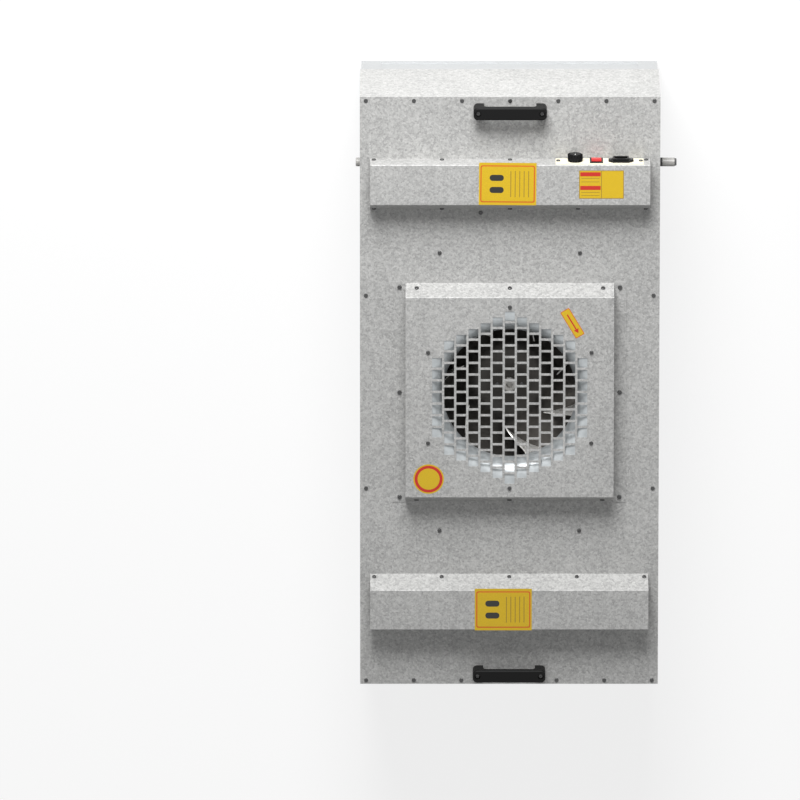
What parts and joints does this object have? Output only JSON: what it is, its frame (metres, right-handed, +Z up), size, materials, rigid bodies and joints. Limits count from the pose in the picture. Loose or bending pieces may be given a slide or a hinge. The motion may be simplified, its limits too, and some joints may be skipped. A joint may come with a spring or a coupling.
{
  "type": "fan filter unit",
  "caption": "Ceiling fan filter unit: a coated steel casing with a grilled air intake, centrifugal fan and control box, seated on a framed pleated air filter.",
  "frame": {"origin": "centre of the outlet face, in the plane of the filter rails' lower rims", "axes": "+Z up, against the air flow, from the outlet to the intake; +Y along the unit towards the control box; +X across it towards the cable gland"},
  "size_m": [0.615, 1.175, 0.32],
  "materials": {
    "casing_steel": "zinc and aluminium coated, fine spangle, satin",
    "bracket_steel": "galvanised, satin",
    "fastener_steel": "zinc plated, satin",
    "filter_aluminium": "anodised, satin",
    "guard_white": "powder coated, satin",
    "filter_media": "pleated glass-fibre paper, matt",
    "gasket_foam": "closed-cell foam, matt",
    "lining_foam": "open-cell foam, matt",
    "ring_steel": "galvanised, satin",
    "impeller_metal": "rolled sheet, satin",
    "rotor_metal": "die cast, satin",
    "stator_metal": "laminated stack with varnished coils",
    "handle_black": "moulded, fine grain",
    "plate_cream": "powder coated, satin",
    "knob_black": "moulded, satin",
    "rocker_red": "moulded, gloss",
    "switch_black": "moulded, satin",
    "pin_brass": "plated, bright",
    "gland_grey": "moulded, satin",
    "gland_dark": "moulded, satin",
    "collar_rubber": "moulded, matt",
    "terminal_white": "moulded, satin"
  },
  "bodies": {
    "unit": {"baffle_plate": "bracket_steel", "baffle_screws": "fastener_steel", "blanking_plug": "gland_grey", "cable_grommet": "collar_rubber", "casing_control_end": "casing_steel", "casing_plain_end": "casing_steel", "casing_side_left": "casing_steel", "casing_side_right": "casing_steel", "control_box": "casing_steel", "control_box_brackets": "bracket_steel", "control_box_screws": "fastener_steel", "control_plate": "plate_cream", "control_plate_screws": "fastener_steel", "cover_brackets": "bracket_steel", "cover_screws": "fastener_steel", "earth_screw": "fastener_steel", "edge_rivets": "fastener_steel", "end_linings": "lining_foam", "filter_corner_angles": "filter_aluminium", "filter_gasket": "gasket_foam", "filter_inlet_guard": "guard_white", "filter_media_pack": "filter_media", "filter_outlet_guard": "guard_white", "filter_rail_control_end": "filter_aluminium", "filter_rail_left": "filter_aluminium", "filter_rail_plain_end": "filter_aluminium", "filter_rail_right": "filter_aluminium", "gland_body": "gland_grey", "gland_cap": "gland_dark", "gland_collar": "collar_rubber", "handle_control_end": "handle_black", "handle_nuts": "fastener_steel", "handle_plain_end": "handle_black", "handle_screws": "fastener_steel", "hanger_left": "bracket_steel", "hanger_right": "bracket_steel", "hanger_screws": "fastener_steel", "inlet_cover": "casing_steel", "inlet_ring": "ring_steel", "locknuts": "gland_grey", "motor_stator": "stator_metal", "power_inlet": "switch_black", "power_inlet_pins": "pin_brass", "ring_screws": "fastener_steel", "rocker_bezel": "switch_black", "side_linings": "lining_foam", "speed_controller": "switch_black", "stiffener_box": "casing_steel", "stiffener_brackets": "bracket_steel", "stiffener_screws": "fastener_steel", "terminal_block": "terminal_white", "top_lining": "lining_foam", "top_panel": "casing_steel"},
    "fan_wheel": {"motor_rotor": "rotor_metal", "impeller_back_plate": "impeller_metal", "impeller_blades": "impeller_metal", "impeller_shroud": "impeller_metal", "impeller_screws": "fastener_steel"},
    "knob": {"speed_knob": "knob_black"},
    "rocker_key": {"rocker": "rocker_red"}
  },
  "joints": [
    {"name": "impeller_spin", "type": "hinge", "parent": "unit", "child": "fan_wheel", "pos_m": [0, 0, 0.2], "axis": [0, 0, 1], "continuous": true},
    {"name": "knob_turn", "type": "hinge", "parent": "unit", "child": "knob", "pos_m": [0.1245, 0.465, 0.298], "axis": [0, 1, 0], "range_deg": [0, 270]},
    {"name": "rocker_tilt", "type": "hinge", "parent": "unit", "child": "rocker_key", "pos_m": [0.165, 0.465, 0.298], "axis": [1, 0, 0], "range_deg": [0, 16]}
  ]
}
